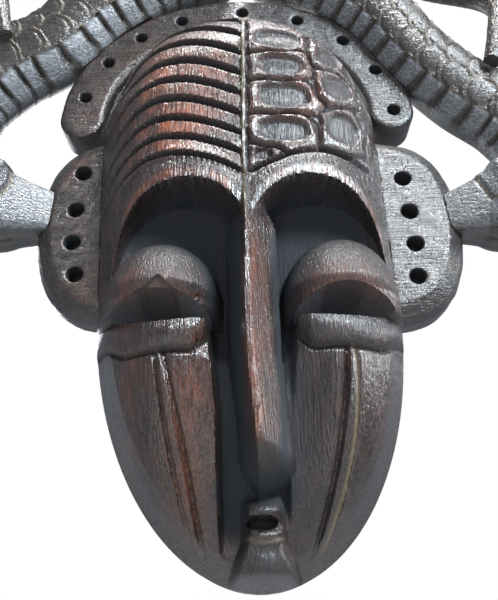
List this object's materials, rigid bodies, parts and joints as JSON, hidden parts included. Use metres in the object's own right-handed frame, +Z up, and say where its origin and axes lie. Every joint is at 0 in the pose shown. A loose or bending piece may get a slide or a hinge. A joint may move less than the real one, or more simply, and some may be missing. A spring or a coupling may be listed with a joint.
{
  "type": "carved wooden mask",
  "caption": "Wall-hung carved wooden mask: long hollow face with slit eyes, pierced crown band, pierced ear flaps and scaled snakes whose snouts rest on the flaps",
  "frame": {"origin": "Where the shank of a wall screw bears in the keyhole of the hanger plate, on the flat back plane of the mask", "axes": "X to the viewer's right, the carved front looks along -Y, the wall lies on the +Y side of the plane Y = 0, +Z up"},
  "size_m": [0.4432, 0.099, 0.4744],
  "materials": {
    "face_wood": "dark red-brown stain, satin polish, worn on the ridges",
    "band_wood": "dark brown stain, satin polish",
    "flap_wood": "dark brown stain, satin polish, coarse grain",
    "snake_wood": "dark brown stain, glossy polish, pale worn scale edges",
    "stud_wood": "dark brown stain, glossy",
    "dowel_wood": "plain beech, unstained",
    "hanger_brass": "plain stamped brass",
    "screw_brass": "plain brass"
  },
  "bodies": {
    "root": {"face": "face_wood", "crown_band": "band_wood", "ear_flap_left": "flap_wood", "ear_flap_right": "flap_wood", "snake_left": "snake_wood", "snake_right": "snake_wood", "tail_left": "snake_wood", "tail_right": "snake_wood", "eye_stud_left": "stud_wood", "eye_stud_right": "stud_wood", "crown_dowels": "dowel_wood", "ear_dowels": "dowel_wood", "snake_dowels": "dowel_wood", "tail_dowels": "dowel_wood", "snout_dowels": "dowel_wood", "hanger_plate": "hanger_brass", "hanger_screws": "screw_brass"}
  },
  "joints": []
}
